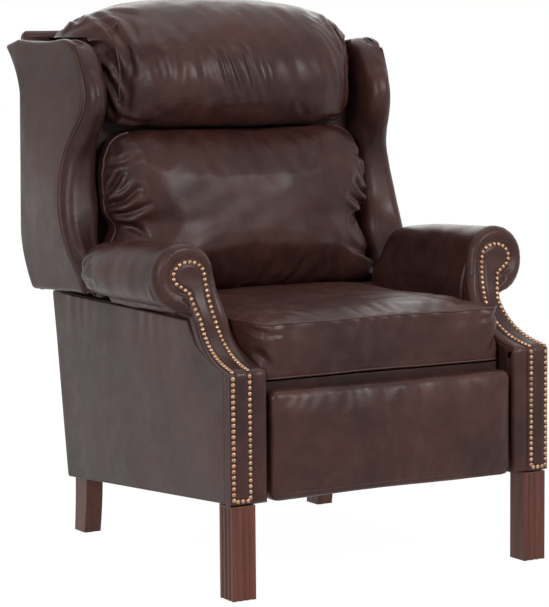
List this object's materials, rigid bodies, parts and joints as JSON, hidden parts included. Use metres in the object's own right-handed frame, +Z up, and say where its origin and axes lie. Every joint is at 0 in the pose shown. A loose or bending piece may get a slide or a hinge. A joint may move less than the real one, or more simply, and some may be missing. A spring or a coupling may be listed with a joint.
{
  "type": "high-leg wingback recliner",
  "caption": "Leather wing chair with rolled, nail-trimmed arms on square fluted legs, whose back leans back and whose front panel swings out as a footrest.",
  "frame": {"origin": "on the floor, under the middle of the chair's box", "axes": "+Z up, the sitter faces -Y, and +X is to the sitter's left"},
  "size_m": [0.8252, 0.914, 1.09],
  "materials": {
    "brown_leather": "aged semi-gloss, dark reddish brown",
    "lining_leather": "matt, dark brown",
    "mahogany": "satin lacquer, reddish brown",
    "frame_beech": "bare",
    "steel": "zinc plated",
    "spring_steel": "oiled wire",
    "antique_brass": "antiqued",
    "nylon": "matt",
    "black_cloth": "woven dust cloth"
  },
  "bodies": {
    "base": {"front_leg_left": "mahogany", "front_leg_right": "mahogany", "rear_leg_left": "mahogany", "rear_leg_right": "mahogany", "leg_glides": "nylon", "leg_bolts": "steel", "side_rail_left": "frame_beech", "side_rail_right": "frame_beech", "front_rail": "frame_beech", "rear_rail": "frame_beech", "rear_posts": "frame_beech", "arm_stump_left": "frame_beech", "arm_stump_right": "frame_beech", "arm_rails": "frame_beech", "side_panel_left": "brown_leather", "side_panel_right": "brown_leather", "arm_roll_left": "brown_leather", "arm_roll_right": "brown_leather", "inside_arm_left": "lining_leather", "inside_arm_right": "lining_leather", "arm_front_left": "brown_leather", "arm_front_right": "brown_leather", "arm_facing_left": "brown_leather", "arm_facing_right": "brown_leather", "nail_trim_left": "antique_brass", "nail_trim_right": "antique_brass", "base_back_panel": "brown_leather", "dust_cover": "black_cloth", "mechanism_rail_left": "steel", "mechanism_rail_right": "steel"},
    "seat_carriage": {"mechanism_plate_left": "steel", "mechanism_plate_right": "steel", "slide_shoes": "nylon", "seat_side_rails": "frame_beech", "seat_end_rails": "frame_beech", "seat_springs": "spring_steel", "seat_cushion": "brown_leather"},
    "rear_links_pair": {"torque_rod": "steel", "rear_links": "steel"},
    "rear_cross_pair": {"rear_cross_links": "steel"},
    "front_links_pair": {"front_links": "steel"},
    "front_cross_pair": {"front_cross_links": "steel"},
    "footrest": {"footrest_brackets": "steel", "footrest_board": "frame_beech", "footrest_pad": "brown_leather"},
    "reclining_back": {"back_brackets": "steel", "back_stiles": "frame_beech", "back_cross_rails": "frame_beech", "inside_back": "lining_leather", "back_springs": "spring_steel", "outside_back": "brown_leather", "back_top_roll": "brown_leather", "back_cushion": "brown_leather", "head_pillow": "brown_leather", "wing_board_left": "frame_beech", "wing_board_right": "frame_beech", "wing_left": "brown_leather", "wing_right": "brown_leather", "outside_wing_left": "brown_leather", "outside_wing_right": "brown_leather"}
  },
  "joints": [
    {"name": "seat_slide", "type": "slide", "parent": "base", "child": "seat_carriage", "axis": [0, -1, 0], "range_m": [0, 0.04]},
    {"name": "back_recline", "type": "hinge", "parent": "seat_carriage", "child": "reclining_back", "pos_m": [0, 0.173, 0.36], "axis": [-1, 0, 0], "range_deg": [0, 30]},
    {"name": "footrest_extend", "type": "hinge", "parent": "seat_carriage", "child": "rear_links_pair", "pos_m": [0, -0.361, 0.358], "axis": [-1, 0, 0], "range_deg": [0, 65]},
    {"name": "rear_cross_pivot", "type": "hinge", "parent": "rear_links_pair", "child": "rear_cross_pair", "pos_m": [0, -0.3685, 0.27233], "axis": [-1, 0, 0], "range_deg": [-130.5, 0.5]},
    {"name": "front_links_pivot", "type": "hinge", "parent": "rear_cross_pair", "child": "front_links_pair", "pos_m": [0, -0.37599, 0.358], "axis": [-1, 0, 0], "range_deg": [-0.5, 130.5]},
    {"name": "front_cross_pivot", "type": "hinge", "parent": "front_links_pair", "child": "front_cross_pair", "pos_m": [0, -0.38349, 0.27233], "axis": [-1, 0, 0], "range_deg": [-130.5, 0.5]},
    {"name": "footrest_tilt", "type": "hinge", "parent": "front_cross_pair", "child": "footrest", "pos_m": [0, -0.39098, 0.358], "axis": [-1, 0, 0], "range_deg": [-0.5, 153.5]}
  ],
  "couplings": [
    {"joint": "seat_slide", "follows": "back_recline", "m_per_rad": 0.0763},
    {"joint": "rear_cross_pivot", "follows": "footrest_extend", "ratio": -2},
    {"joint": "front_links_pivot", "follows": "footrest_extend", "ratio": 2},
    {"joint": "front_cross_pivot", "follows": "footrest_extend", "ratio": -2},
    {"joint": "footrest_tilt", "follows": "footrest_extend", "ratio": 2.354}
  ]
}
